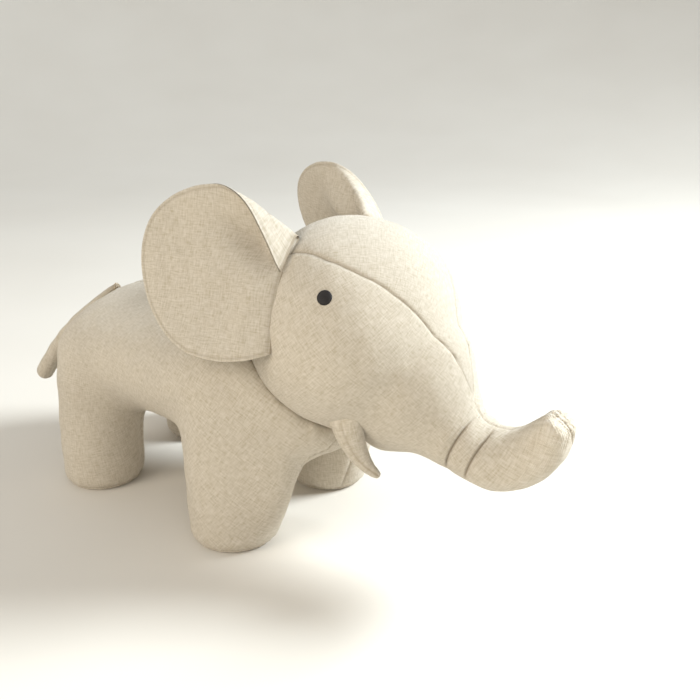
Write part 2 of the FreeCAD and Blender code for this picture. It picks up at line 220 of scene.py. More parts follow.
def softNoise(points, scale, seed):
    # smooth noise from a few slow waves in seeded directions, about -1 to 1
    rng = np.random.default_rng(seed)
    total = np.zeros(len(points))
    for _ in range(7):
        way = rng.normal(size=3)
        way *= (0.6 + 0.8 * rng.random()) * math.tau / scale / np.linalg.norm(way)
        total += np.sin(points @ way + rng.random() * math.tau)
    return total / 3.2


def meshArrays(mesh):
    mesh.calc_loop_triangles()
    points = np.empty(len(mesh.vertices) * 3)
    mesh.vertices.foreach_get("co", points)
    corners = np.empty(len(mesh.loop_triangles) * 3, int)
    mesh.loop_triangles.foreach_get("vertices", corners)
    return points.reshape(-1, 3), corners.reshape(-1, 3)


def pointNormals(points, faces):
    a, b, c = (points[faces[:, i]] for i in range(3))
    flat = np.cross(b - a, c - a)
    total = np.zeros_like(points)
    for i in range(3):
        np.add.at(total, faces[:, i], flat)
    return total / np.maximum(np.linalg.norm(total, axis=1, keepdims=True), 1e-12)


def neighbourMean(points, edges):
    total = np.zeros_like(points)
    count = np.zeros(len(points))
    for a, b in ((0, 1), (1, 0)):
        np.add.at(total, edges[:, a], points[edges[:, b]])
        np.add.at(count, edges[:, a], 1)
    return total / np.maximum(count, 1)[:, None]


def makeObject(name, points, faces):
    mesh = bpy.data.meshes.new(name)
    mesh.from_pydata([tuple(p) for p in points], [], [tuple(int(i) for i in f) for f in faces])
    mesh.update()
    thing = bpy.data.objects.new(name, mesh)
    bpy.context.scene.collection.objects.link(thing)
    return thing


def ringFaces(rings, count):
    # a fan round point 0, then bands between the rings that follow it
    faces = [(0, 1 + i, 1 + (i + 1) % count) for i in range(count)]
    for ring in range(rings - 1):
        a, b = 1 + ring * count, 1 + (ring + 1) * count
        for i in range(count):
            j = (i + 1) % count
            faces += [(a + i, b + i, b + j), (a + i, b + j, a + j)]
    return np.array(faces)


def facingOut(points, faces):
    normals = pointNormals(points, faces)
    if ((points - points.mean(0)) * normals).sum() < 0:
        return faces[:, ::-1], -normals
    return faces, normals


def evaluatedMesh(thing):
    bpy.context.view_layer.update()
    shown = thing.evaluated_get(bpy.context.evaluated_depsgraph_get())
    return bpy.data.meshes.new_from_object(shown)


def discard(thing):
    mesh = thing.data
    bpy.data.objects.remove(thing)
    bpy.data.meshes.remove(mesh)


def stuffingForm(name, nodes, voxel):
    # one closed form over several stuffing solids, in even faces
    points, faces = [], []
    for node in nodes:
        p, f = meshArrays(frame["nodes"][node].data)
        faces.append(f + sum(len(q) for q in points))
        points.append(p)
    thing = makeObject(name, np.concatenate(points), np.concatenate(faces))
    remesh = thing.modifiers.new("remesh", "REMESH")
    remesh.mode = "VOXEL"
    remesh.voxel_size = voxel
    mesh = evaluatedMesh(thing)
    discard(thing)
    form = bpy.data.objects.new(name, mesh)
    bpy.context.scene.collection.objects.link(form)
    return form


def meshEdges(mesh):
    pairs = np.empty(len(mesh.edges) * 2, int)
    mesh.edges.foreach_get("vertices", pairs)
    return pairs.reshape(-1, 2)


def setPoints(mesh, points):
    mesh.vertices.foreach_set("co", points.ravel())
    mesh.update()


def softenForm(form, fill, even, keep=None):
    # fill rounds only the hollows between joined parts; even takes the voxel steps out
    points, faces = meshArrays(form.data)
    edges = meshEdges(form.data)
    for _ in range(fill):
        normals = pointNormals(points, faces)
        rise = ((neighbourMean(points, edges) - points) * normals).sum(1)
        points = points + normals * np.maximum(rise, 0)[:, None]
    for _ in range(even):
        for step in (0.55, -0.57):
            points = points + (neighbourMean(points, edges) - points) * step
    if keep is not None:
        points = keep(points)
    setPoints(form.data, points)
    return form


def puffForm(form, pinned, pressure, cap, frames=20):
    # stuffing pressure on woven cloth that is held where it is sewn
    start, _ = meshArrays(form.data)
    group = form.vertex_groups.new(name="sewn")
    for index, weight in enumerate(pinned(start)):
        group.add([index], float(weight), "REPLACE")
    cloth = form.modifiers.new("cloth", "CLOTH")
    rules = cloth.settings
    rules.quality = 6
    rules.mass = 0.3
    rules.tension_stiffness = rules.compression_stiffness = 18
    rules.shear_stiffness = 8
    rules.bending_stiffness = 1.2
    rules.air_damping = 4
    rules.use_pressure = True
    rules.uniform_pressure_force = pressure
    rules.vertex_group_mass = "sewn"
    rules.effector_weights.gravity = 0
    cloth.collision_settings.use_collision = False
    cloth.collision_settings.use_self_collision = False
    cloth.point_cache.frame_start = 1
    cloth.point_cache.frame_end = frames
    scene = bpy.context.scene
    for number in range(frames + 1):
        scene.frame_set(number)
    mesh = evaluatedMesh(form)
    puffed, _ = meshArrays(mesh)
    bpy.data.meshes.remove(mesh)
    form.modifiers.clear()
    form.vertex_groups.clear()
    scene.frame_set(1)
    move = puffed - start
    far = np.linalg.norm(move, axis=1, keepdims=True)
    setPoints(form.data, start + move * np.minimum(1, cap / np.maximum(far, 1e-9)))
    reached = float(np.minimum(far, cap).max()) * 1000
    print("  puffed", form.name, "by up to", round(reached, 1), "mm")
    return form


def subdivided(form):
    step = form.modifiers.new("even", "SUBSURF")
    step.levels = step.render_levels = 1
    mesh = evaluatedMesh(form)
    arrays = meshArrays(mesh)
    bpy.data.meshes.remove(mesh)
    discard(form)
    return arrays


def insertLine(points, faces, field):
    # new points and edges along the line where the field is zero
    values = field(points)
    values = np.where(np.abs(values) < 2e-5, 0.0, values)
    side = np.sign(values)
    crossed = np.zeros(len(faces), bool)
    for i, j in ((0, 1), (1, 2), (2, 0)):
        crossed |= side[faces[:, i]] * side[faces[:, j]] < 0
    made, extra, fresh = {}, [], []

    def middle(a, b):
        key = (a, b) if a < b else (b, a)
        if key not in made:
            share = values[key[0]] / (values[key[0]] - values[key[1]])
            made[key] = len(points) + len(extra)
            extra.append(points[key[0]] + (points[key[1]] - points[key[0]]) * share)
        return made[key]

    for face in faces[crossed]:
        a, b, c = (int(i) for i in face)
        signs = [side[a], side[b], side[c]]
        if 0 in signs:
            while side[a] != 0:
                a, b, c = b, c, a
            m = middle(b, c)
            fresh += [(a, b, m), (a, m, c)]
        else:
            while side[b] != side[c]:
                a, b, c = b, c, a
            m, n = middle(a, b), middle(a, c)
            fresh += [(a, m, n), (m, b, c), (m, c, n)]
    if not extra:
        return points, faces
    return np.vstack([points, extra]), np.vstack([faces[~crossed], fresh])


def refineSeam(points, faces, field):
    for offset in (0, 0.6 * mm, -0.6 * mm, 1.6 * mm, -1.6 * mm):
        points, faces = insertLine(points, faces, lambda p: field(p) + offset)
    return points, faces


def sewnDip(distance, along, seed, depth=0.9 * mm, width=1.3 * mm, pucker=0.45 * mm,
            pitch=8 * mm):
    # how far the cloth is drawn in beside a seam, with small puckers that fade away from it
    near = np.abs(distance)
    rng = np.random.default_rng(seed)
    phase = sum(np.sin(along / (pitch * k) + rng.random() * 6) for k in (1.7, 3.1, 5.3)) * 1.6
    gathers = np.sin(along * math.tau / pitch + phase)
    fade = np.exp(-near / (5 * mm)) * (0.55 + 0.45 * np.sin(along / (pitch * 4) + seed))
    return (-depth * np.exp(-(near / width) ** 2) - 0.35 * depth * np.exp(-near / (4 * mm))
            + pucker * gathers * fade * smoothstep(0, 1.2 * mm, near))


def putPiece(name, points, faces, material, weave=None, seamShade=None):
    used, index = np.unique(faces, return_inverse=True)
    piece = makeObject(name, points[used], index.reshape(faces.shape))
    piece.data.materials.append(material)
    piece.data.polygons.foreach_set("use_smooth", [True] * len(piece.data.polygons))
    attribute = piece.data.attributes.new("weave", "FLOAT_VECTOR", "POINT")
    if weave is not None:
        attribute.data.foreach_set("vector", weave[used].astype(np.float32).ravel())
    shade = np.zeros(len(points)) if seamShade is None else seamShade
    attribute = piece.data.attributes.new("seamShade", "FLOAT", "POINT")
    attribute.data.foreach_set("value", shade[used].astype(np.float32))
    return piece


def layCloth(piece, toward, seed):
    # each panel is cut flat from the cloth: lay it flat again and keep each point's place
    mesh = piece.data
    bpy.context.view_layer.objects.active = piece
    piece.select_set(True)
    mesh.uv_layers.new(name="flat")
    bpy.ops.object.mode_set(mode="EDIT")
    bpy.ops.mesh.select_all(action="SELECT")
    bpy.ops.uv.unwrap(method="CONFORMAL", margin=0.0)
    bpy.ops.object.mode_set(mode="OBJECT")
    piece.select_set(False)
    places = np.empty(len(mesh.loops) * 2)
    mesh.uv_layers["flat"].data.foreach_get("uv", places)
    owners = np.empty(len(mesh.loops), int)
    mesh.loops.foreach_get("vertex_index", owners)
    flat = np.zeros((len(mesh.vertices), 2))
    flat[owners] = places.reshape(-1, 2)
    mesh.uv_layers.remove(mesh.uv_layers["flat"])
    points, faces = meshArrays(mesh)
    a, b, c = (points[faces[:, i]] for i in range(3))
    area = np.linalg.norm(np.cross(b - a, c - a), axis=1).sum()
    a, b, c = (flat[faces[:, i]] for i in range(3))
    flatArea = np.abs((b - a)[:, 0] * (c - a)[:, 1] - (b - a)[:, 1] * (c - a)[:, 0]).sum()
    flat = (flat - flat.mean(0)) * math.sqrt(area / max(flatArea, 1e-12))
    height = points @ np.array(toward)
    slope = flat.T @ (height - height.mean())
    slope = slope / max(np.linalg.norm(slope), 1e-12)
    flat = np.stack([flat @ (slope[1], -slope[0]), flat @ slope, np.full(len(flat), seed)], 1)
    mesh.attributes["weave"].data.foreach_set("vector", flat.astype(np.float32).ravel())


def splinePoint(ring, span, u):
    # the point a share u along one span of the smooth line through the ring's points
    last = len(ring) - 1
    before, a, b, after = (ring[max(0, min(last, span + k))] for k in (-1, 0, 1, 2))
    return 0.5 * (2 * a + (b - before) * u + (2 * before - 5 * a + 4 * b - after) * u ** 2
                  + (3 * a - before - 3 * b + after) * u ** 3)


def curveThrough(points, count):
    ring = np.array(points, float)
    spans = len(ring) - 1
    out = []
    for t in np.linspace(0, spans, count):
        i = min(int(t), spans - 1)
        out.append(splinePoint(ring, i, t - i))
    return np.array(out)


def nodeBox(node):
    low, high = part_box(node)
    return np.array(low), np.array(high)


def middleOf(node):
    low, high = nodeBox(node)
    return (low + high) / 2


def shadeNear(distances, width=0.6 * mm, strength=0.6):
    nearest = np.min(np.abs(np.stack(distances)), axis=0)
    return strength * np.exp(-(nearest / width) ** 2)


# The body: two side panels, a belly gusset and four soles.
headLow, headHigh = nodeBox("head_stuffing")
headMiddle = (headLow + headHigh) / 2
headRadius = (headHigh[0] - headLow[0]) / 2
bodyLook = {
    "voxel": 4 * mm,
    "hollowFill": 60,
    "chest": (27, -10),          # how far the chest and shoulders stand forwards and down, mm
    "chestFrom": (-5, 50),       # where along the body that begins and is full
    "chestSides": (55, 94),      # how far out it fades, from and to
    "chestTop": (74, 100, 150),  # the height where it is full, starts to fade and ends
    "legBend": (15, 105),        # heights between which a leg's lean fades
    "legReach": (46, 66),        # distances from its axis between which it fades
    "collar": 9 * mm,            # how far the body swells up to meet the head
    "collarReach": 17 * mm,
    "gussetHalfWidth": 42 * mm,
    "gussetTop": 104 * mm,
    "gussetRound": 44 * mm,
    "soleSeam": 3.2 * mm,
    "settle": 3 * mm,            # how far the feet sink until they lie flat on the floor
    "pressure": 3.0,
    "cap": 4 * mm,
    # how the soft legs stand: forwards, outwards and how much fuller they are at the foot
    "stance": {"front_leg_right": (7, 4, 1.03), "front_leg_left": (8, 2, 1.02),
               "rear_leg_right": (-1, 4, 1.04), "rear_leg_left": (-1, 2, 1.02)},
}
legNames = [f"{end}_leg_{side}" for end in ("front", "rear") for side in ("right", "left")]


def flatFeet(points):
    points = points.copy()
    points[:, 2] = np.maximum(points[:, 2], 0)
    return points


def standing(points):
    moved = points.copy()
    starts, sides, top, bend, fade = (
        [v * mm for v in bodyLook[k]]
        for k in ("chestFrom", "chestSides", "chestTop", "legBend", "legReach"))
    for leg, (forward, outward, fuller) in bodyLook["stance"].items():
        foot = middleOf(f"{leg}_sole")
        side = 1 if foot[1] > 0 else -1
        reach = np.hypot(points[:, 0] - foot[0], points[:, 1] - foot[1])
        share = (1 - smoothstep(*bend, points[:, 2])) * (1 - smoothstep(*fade, reach))
        shift = np.stack([share * forward * mm, share * side * outward * mm, share * 0], 1)
        swell = (points - foot) * np.array((1, 1, 0)) * ((fuller - 1) * share)[:, None]
        moved += shift + swell
    x, y, z = points.T
    moved[:, 2] -= bodyLook["settle"] * (1 - smoothstep(2 * mm, 20 * mm, z))
    chest = smoothstep(*starts, x) * (1 - smoothstep(*sides, np.abs(y)))
    chest = chest * np.clip(z / top[0], 0, 1) * (1 - smoothstep(*top[1:], z))
    forward, up = bodyLook["chest"]
    return moved + chest[:, None] * np.array((forward, 0, up)) * mm


def meetHead(points, normals):
    # the body swells up round the neck and lies against the head
    gap = np.linalg.norm(points - headMiddle, axis=1) - headRadius
    swell = bodyLook["collar"] * np.exp(-(np.maximum(gap, 0) / bodyLook["collarReach"]) ** 2)
    points = points + normals * swell[:, None]
    away = points - headMiddle
    distance = np.linalg.norm(away, axis=1)
    return headMiddle + away * (np.maximum(distance, headRadius + 1 * mm) / distance)[:, None]


def gussetField(points):
    look = bodyLook
    low = look["gussetTop"] - look["gussetRound"]
    rise = np.clip((points[:, 2] - low) / look["gussetRound"], 0, 1)
    half = look["gussetHalfWidth"] * np.sqrt(np.maximum(1 - rise ** 2, 0))
    return np.abs(points[:, 1]) - half + 6 * mm * (rise >= 1)


def soleField(points):
    return points[:, 2] - bodyLook["soleSeam"]


def spineField(points):
    return points[:, 1]


def bodyPins(points):
    seams = np.abs(np.stack([gussetField(points), soleField(points)])).min(0)
    spine = np.where(points[:, 2] > bodyLook["gussetTop"], np.abs(points[:, 1]), 1)
    held = np.exp(-(np.minimum(seams, spine) / (2.5 * mm)) ** 2)
    return np.where(points[:, 2] < 2 * bodyLook["soleSeam"], 1, held)


bodyForm = stuffingForm("bodyForm", ["torso_stuffing"] + [f"{leg}_stuffing" for leg in legNames],
                        bodyLook["voxel"])
softenForm(bodyForm, bodyLook["hollowFill"], 10, flatFeet)
stoodPoints, stoodFaces = meshArrays(bodyForm.data)
stoodPoints = standing(stoodPoints)
setPoints(bodyForm.data, meetHead(stoodPoints, pointNormals(stoodPoints, stoodFaces)))
softenForm(bodyForm, 6, 8, flatFeet)
puffForm(bodyForm, bodyPins, bodyLook["pressure"], bodyLook["cap"])
bodyPoints, bodyFaces = subdivided(bodyForm)
for seamLine in (gussetField, soleField, spineField):
    bodyPoints, bodyFaces = refineSeam(bodyPoints, bodyFaces, seamLine)
bodyNormals = pointNormals(bodyPoints, bodyFaces)
gussetAt, soleAt, spineAt = (f(bodyPoints) for f in (gussetField, soleField, spineField))
onBack = smoothstep(bodyLook["gussetTop"], bodyLook["gussetTop"] + 8 * mm, bodyPoints[:, 2])
aboveSole = smoothstep(0, 10 * mm, bodyPoints[:, 2])
dip = sewnDip(gussetAt, bodyPoints[:, 0] + bodyPoints[:, 2], 3, depth=0.7 * mm) * aboveSole
dip = dip + sewnDip(spineAt, bodyPoints[:, 0], 5) * onBack
soleDip = sewnDip(soleAt, bodyPoints[:, 0] + bodyPoints[:, 1], 8, depth=0.9 * mm,
                  width=1.1 * mm, pitch=6 * mm)
dip = dip + soleDip * smoothstep(0, 1.2 * mm, bodyPoints[:, 2])
offFloor = smoothstep(5 * mm, 30 * mm, bodyPoints[:, 2])
dip = dip + 0.9 * mm * softNoise(bodyPoints, 90 * mm, 11) * offFloor
dip = dip + 0.25 * mm * softNoise(bodyPoints, 22 * mm, 12) * aboveSole
bodyPoints = flatFeet(bodyPoints + bodyNormals * (dip + 1.2 * mm * aboveSole)[:, None])
bodyShade = np.maximum(shadeNear([gussetAt, soleAt], strength=0.4),
                       shadeNear([spineAt], strength=0.5) * onBack)

faceMiddle = bodyPoints[bodyFaces].mean(1)
faceGusset, faceSole = (f[bodyFaces].mean(1) for f in (gussetAt, soleAt))
legMiddles = {leg: middleOf(f"{leg}_sole") for leg in legNames}
bodyPieces = []
for sideName, sign in (("Right", -1), ("Left", 1)):
    chosen = (faceGusset > 0) & (faceSole > 0) & (faceMiddle[:, 1] * sign > 0)
    piece = putPiece(f"bodySidePanel{sideName}", bodyPoints, bodyFaces[chosen], linen,
                     None, bodyShade)
    layCloth(piece, (0.1, 0, 1), 0.1 * sign)
    near = sideName.lower()
    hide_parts(f"body_side_{near}", f"front_leg_{near}_stuffing", f"rear_leg_{near}_stuffing")
    bodyPieces.append(piece)
chosen = (faceGusset <= 0) & (faceSole > 0)
gusset = putPiece("bellyGussetPanel", bodyPoints, bodyFaces[chosen], linen, None, bodyShade)
layCloth(gusset, (1, 0, 0), 0.3)
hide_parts("belly_gusset", "torso_stuffing")
bodyPieces.append(gusset)
for piece in bodyPieces:
    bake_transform(piece)
for leg in legNames:
    apart = np.hypot(*(faceMiddle[:, :2] - legMiddles[leg][:2]).T)
    chosen = (faceSole <= 0) & (apart < 50 * mm)
    title = "".join(word.capitalize() for word in leg.split("_"))
    sole = putPiece(f"sole{title}", bodyPoints, bodyFaces[chosen], linen,
                    bodyPoints, bodyShade)
    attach(sole, "torso")
    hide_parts(f"{leg}_sole")
print("body sewn:", len(bodyFaces), "faces")


# The head and trunk: two side panels and the forehead gusset.
headLook = {
    "voxel": 3.6 * mm,
    "hollowFill": 22,
    "gussetTurn": (-22, -12, 0, 13, 25, 35, 54, 64, 77, 100, 135, 180, 225),   # degrees up from ahead
    "gussetHalf": (-3, 4, 11, 19, 28, 35, 45, 48, 50, 49, 50, 44, 38),         # half width there, mm
    "tuckLean": 21,
    "tuckReach": 22 * mm,
    "tuckDepth": 2.0 * mm,
    "tuckShift": {"rear": 0, "front": -4.5},
    "jawLift": 5 * mm,
    # the sewn end of the trunk: a point on it, and the way it faces
    "endPlace": (276.7, 0, 148.4),
    "endWay": (0.595, 0, 0.804),
    "pressure": 3.0,
    "cap": 3.5 * mm,
}


tuckPlaces = {end: middleOf(f"trunk_tuck_stitches_{end}") + np.array((shift, 0, 0)) * mm
              for end, shift in headLook["tuckShift"].items()}
endWay = np.array(headLook["endWay"]) / np.linalg.norm(headLook["endWay"])
endPlace = np.array(headLook["endPlace"]) * mm


def closedEnd(points):
    # the trunk's end is drawn flat across, with a short rounded shoulder
    past = (points - endPlace) @ endWay
    rounded = -3 * mm + 3.4 * mm * (1 - np.exp(-(past + 3 * mm) / (3.4 * mm)))
    flat = np.where(past > -3 * mm, rounded, past)
    onTrunk = points[:, 0] > 0.235
    return points + endWay * np.where(onTrunk, flat - past, 0)[:, None]


def trimJaw(points):
    # the jaw runs nearly straight into the underside of the trunk
    x, z = points[:, 0], points[:, 2]
    along = smoothstep(140 * mm, 180 * mm, x) * (1 - smoothstep(200 * mm, 238 * mm, x))
    low = 1 - smoothstep(88 * mm, 135 * mm, z)
    return closedEnd(points + np.outer(along * low * headLook["jawLift"], (0, 0, 1)))


def headTurn(points):
    return np.degrees(np.arctan2(points[:, 2] - headMiddle[2], points[:, 0] - headMiddle[0]))


def leafField(points):
    turn = headTurn(points)
    turn = np.where(turn < -135, turn + 360, turn)
    half = np.interp(turn, headLook["gussetTurn"], headLook["gussetHalf"]) * mm
    return np.abs(points[:, 1]) - half


def middleField(points):
    return points[:, 1]


def tuckField(place):
    lean = math.radians(headLook["tuckLean"])

    def field(points):
        return (points[:, 0] - place[0]) * math.cos(lean) - (points[:, 2] - place[2]) * math.sin(lean)
    return field


def tuckDip(points, place):
    lean = math.radians(headLook["tuckLean"])
    across = tuckField(place)(points)
    along = (points[:, 0] - place[0]) * math.sin(lean) + (points[:, 2] - place[2]) * math.cos(lean)
    reach = headLook["tuckReach"]
    held = 1 - smoothstep(reach * 0.55, reach * 1.15, np.abs(along))
    held = held * smoothstep(3 * mm, 10 * mm, np.abs(points[:, 1]))
    crease = np.exp(-(across / (0.8 * mm)) ** 2) + 0.4 * np.exp(-(across / (4 * mm)) ** 2)
    crease = crease + 0.4 * np.exp(-((across + 3.2 * mm) / (0.9 * mm)) ** 2)
    ridge = 0.3 * np.exp(-((np.abs(across) - 6 * mm) / (3 * mm)) ** 2)
    return headLook["tuckDepth"] * held * (ridge - crease), across, held


def headPins(points):
    leaf = np.abs(leafField(points))
    middle = np.where(leafField(points) > 0, np.abs(points[:, 1]), 1)
    held = np.exp(-(np.minimum(leaf, middle) / (2.5 * mm)) ** 2)
    for place in tuckPlaces.values():
        held = np.maximum(held, np.exp(-(tuckField(place)(points) / (2.5 * mm)) ** 2)
                          * (points[:, 0] > place[0] - 30 * mm))
    return held


headForm = stuffingForm("headForm", ["head_stuffing", "trunk_root_stuffing", "trunk_stuffing"],
                        headLook["voxel"])
softenForm(headForm, headLook["hollowFill"], 8, trimJaw)
puffForm(headForm, headPins, headLook["pressure"], headLook["cap"])
headPoints, headFaces = subdivided(headForm)
for seamLine in (leafField, middleField):
    headPoints, headFaces = refineSeam(headPoints, headFaces, seamLine)
for place in tuckPlaces.values():
    headPoints, headFaces = refineSeam(headPoints, headFaces, tuckField(place))
headNormals = pointNormals(headPoints, headFaces)
leafAt, middleAt = leafField(headPoints), middleField(headPoints)
offLeaf = smoothstep(0, 4 * mm, leafAt)
turnAt = headTurn(headPoints)
turnLength = np.radians(turnAt) * headRadius
# the leaf's two seams fade out under its point
pastPoint = smoothstep(-9, -2, np.where(turnAt < -135, 90, turnAt))
dip = sewnDip(leafAt, turnLength, 21, depth=0.9 * mm) * pastPoint
dip = dip + sewnDip(middleAt, headPoints[:, 0] - headPoints[:, 2], 23, depth=0.9 * mm) * offLeaf
headShade = np.maximum(shadeNear([leafAt], strength=0.55) * (np.abs(middleAt) > 1 * mm),
                       shadeNear([middleAt], strength=0.55) * offLeaf)
for place in tuckPlaces.values():
    drawn, across, held = tuckDip(headPoints, place)
    dip = dip + drawn
    headShade = np.maximum(headShade, 0.8 * held * np.exp(-(across / (0.8 * mm)) ** 2))
dip = dip + 0.6 * mm * softNoise(headPoints, 80 * mm, 31) + 0.2 * mm * softNoise(headPoints, 20 * mm, 32)
pastEnd = (headPoints - endPlace) @ endWay
aroundEnd = np.arctan2(headPoints[:, 1], (headPoints - endPlace) @ np.cross(endWay, (0, 1, 0)))
onEnd = smoothstep(-12 * mm, -1 * mm, pastEnd) * (headPoints[:, 0] > 0.235)
dip = dip + 0.45 * mm * onEnd * np.sin(aroundEnd * 15 + 2 * np.sin(aroundEnd * 3))
dip = dip - 1.6 * mm * onEnd * np.exp(-(middleAt / (1.6 * mm)) ** 2)
headShade = np.maximum(headShade, 0.7 * onEnd * np.exp(-(middleAt / (0.7 * mm)) ** 2))
headPoints = headPoints + headNormals * (dip + 1.2 * mm)[:, None]
headMiddles = headPoints[headFaces].mean(1)
faceLeaf = leafAt[headFaces].mean(1)
headPieces = []
for sideName, sign in (("Right", -1), ("Left", 1)):
    chosen = (faceLeaf > 0) & (headMiddles[:, 1] * sign > 0)
    piece = putPiece(f"headSidePanel{sideName}", headPoints, headFaces[chosen], linen,
                     None, headShade)
    layCloth(piece, (-0.3, 0, 1), 0.15 * sign)
    near = sideName.lower()
    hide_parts(f"head_side_{near}", f"trunk_side_{near}")
    headPieces.append(piece)
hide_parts("trunk_stuffing", "trunk_root_stuffing", "trunk_tuck_stitches_rear",
            "trunk_tuck_stitches_front")
crown = putPiece("foreheadGussetPanel", headPoints, headFaces[faceLeaf <= 0], linen,
                 None, headShade)
layCloth(crown, (1, 0, -1), 0.4)
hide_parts("head_gusset", "head_stuffing")
headPieces.append(crown)
for piece in headPieces:
    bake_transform(piece)
print("head sewn:", len(headFaces), "faces")


# The ears: two panels over wadding, cupped, with a turned rim.
earLook = {
    # outline on the flat pattern, backwards and up from the middle of the sewn edge, mm
    "outline": ((-7, -40), (8, -47), (30, -51), (56, -49), (78, -38), (96, -18), (106, 6), (107.5, 28),
                (101, 47), (87, 61), (70, 69.5), (57, 72.5), (45, 74), (31, 74), (22, 73.5), (13, 73),
                (3, 74.5), (-7, 79)),
    "crestBack": (-7, 10, 25, 40, 57, 120),      # the fold's crest on the pattern: backwards
    "crestUp": (41.5, 52.5, 61.5, 67.5, 73, 95),  # and up
    "foldRadius": 3.0,
    # degrees that the cloth turns over, going back
    "foldTurn": ((-7, 150), (10, 126), (30, 88), (45, 55), (60, 15)),
    "bowl": 210,
    "thick": 5.4,
    "rimThick": 1.5,
    "rings": 46,
    "around": 260,
}
earHinge = {side: next(j for j in frame["joints"] if j["name"] == f"ear_{side}_flap")
            for side in ("right", "left")}


def roundOutline(points, count):
    # a closed smooth line through the outline's points, with even steps
    ring = np.array(points, float)
    steps = np.linspace(0, 1, 24, endpoint=False)
    fine = [splinePoint(ring, i, t) for i in range(len(ring) - 1) for t in steps]
    fine.append(ring[-1])
    for t in steps[1:]:
        fine.append(ring[-1] * (1 - t) + ring[0] * t)
    fine = np.array(fine + [ring[0]])
    length = np.concatenate([[0], np.cumsum(np.linalg.norm(np.diff(fine, axis=0), axis=1))])
    even = np.linspace(0, length[-1], count, endpoint=False)
    return np.stack([np.interp(even, length, fine[:, k]) for k in (0, 1)], 1)


def earSheet(flat):
    # flat pattern (back, up) in mm to the ear's own (back, up, out) in mm
    look = earLook
    back, up = flat[:, 0], flat[:, 1]
    crestLine = curveThrough(np.stack([look["crestBack"], look["crestUp"]], 1), 80)
    crest = np.interp(back, crestLine[:, 0], crestLine[:, 1])
    below = np.minimum(up, crest)
    bowl = look["bowl"] - 6 - np.sqrt(look["bowl"] ** 2 - (back - 55) ** 2 - (below - 14) ** 2)
    # beside the head the sheet leans in over the crown
    crown = np.interp(below, (-60, -38, 0, 15, 42, 60), (-8, -9, -8, -10, -28, -36))
    close = np.exp(-np.maximum(back + 7, 0) / 24)
    out = bowl * (1 - close) + crown * close
    # slack cloth beside the sewn edge
    out = out + 1.9 * np.exp(-((back - 13 + 0.2 * below) / 7) ** 2 - ((below + 8) / 26) ** 2)
    out = out - 1.3 * np.exp(-((back - 30 + 0.2 * below) / 9) ** 2 - ((below + 2) / 34) ** 2)
    # the hollow under the fold
    out = out - 13 * np.exp(-((back - 24) / 21) ** 2 - ((crest - below - 22) / 13) ** 2)
    over = np.maximum(up - crest, 0)
    turn = np.radians(np.interp(back, *zip(*look["foldTurn"])))
    radius = look["foldRadius"]
    arc = np.minimum(over / radius, turn)
    straight = np.maximum(over - radius * turn, 0)
    upNew = below + radius * np.sin(arc) + straight * np.cos(turn)
    outNew = out + radius * (1 - np.cos(arc)) + straight * np.sin(turn)
    return np.stack([back, upNew, outNew], 1), up - crest


def earAxes(side):
    sign = -1 if side == "right" else 1
    hinge = earHinge[side]
    up = np.array(hinge["axis"], float)
    up = up / np.linalg.norm(up) * (1 if up[2] > 0 else -1)
    back = np.array((-1, sign * 0.16, 0.05))
    back = back - up * (back @ up)
    back = back / np.linalg.norm(back)
    out = np.cross(back, up)
    out = out * (1 if out[1] * sign > 0 else -1)
    return np.array(hinge["pos_m"]), np.stack([back, up, out])


